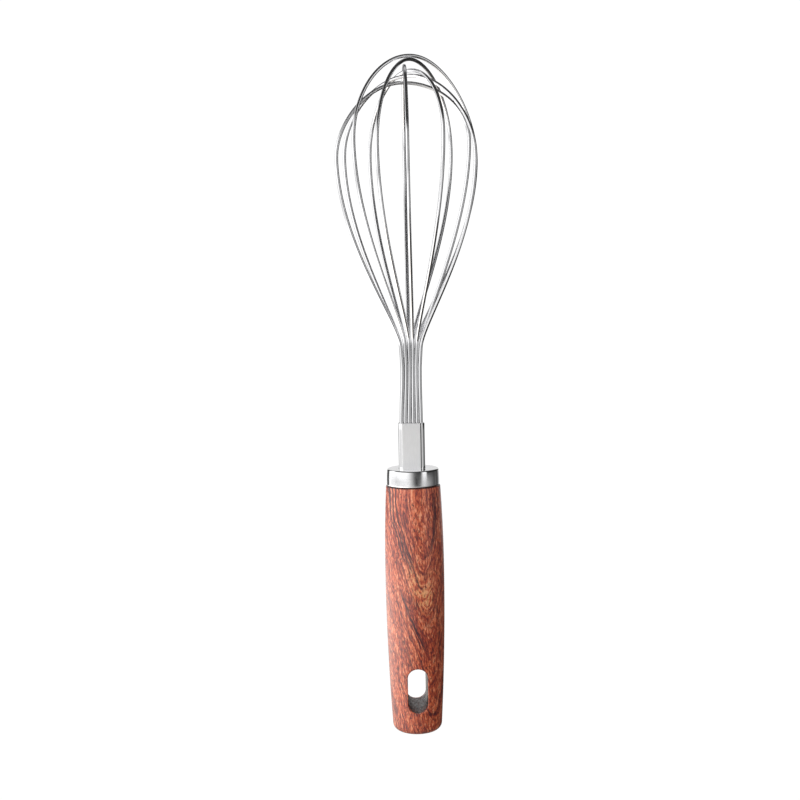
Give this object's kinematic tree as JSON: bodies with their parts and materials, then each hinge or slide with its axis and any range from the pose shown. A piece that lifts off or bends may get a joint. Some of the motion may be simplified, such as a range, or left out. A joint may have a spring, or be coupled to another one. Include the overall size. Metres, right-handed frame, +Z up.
{
  "type": "balloon whisk",
  "caption": "Balloon whisk: turned wooden handle with a hanging slot, polished end cap, flat wire sleeve and nested bent wire loops.",
  "frame": {"origin": "centre of the handle's flat butt end", "axes": "+Z runs up the handle to the balloon, +X to the right of a viewer who looks through the hanging slot, +Y away from that viewer along the slot"},
  "size_m": [0.0609, 0.0614, 0.2857],
  "materials": {
    "hardwood": "reddish brown tropical hardwood, lacquered to a satin polish",
    "polished_steel": "stainless steel, polished bright",
    "satin_steel": "stainless steel, satin",
    "bonding_resin": "cast resin",
    "wire_steel": "stainless steel wire, drawn and polished"
  },
  "bodies": {
    "root": {"handle": "hardwood", "end_cap": "polished_steel", "wire_sleeve": "satin_steel", "resin_plug": "bonding_resin", "wire_loop_1": "wire_steel", "wire_loop_2": "wire_steel", "wire_loop_3": "wire_steel", "wire_loop_4": "wire_steel", "wire_loop_5": "wire_steel", "wire_loop_6": "wire_steel"}
  },
  "joints": []
}
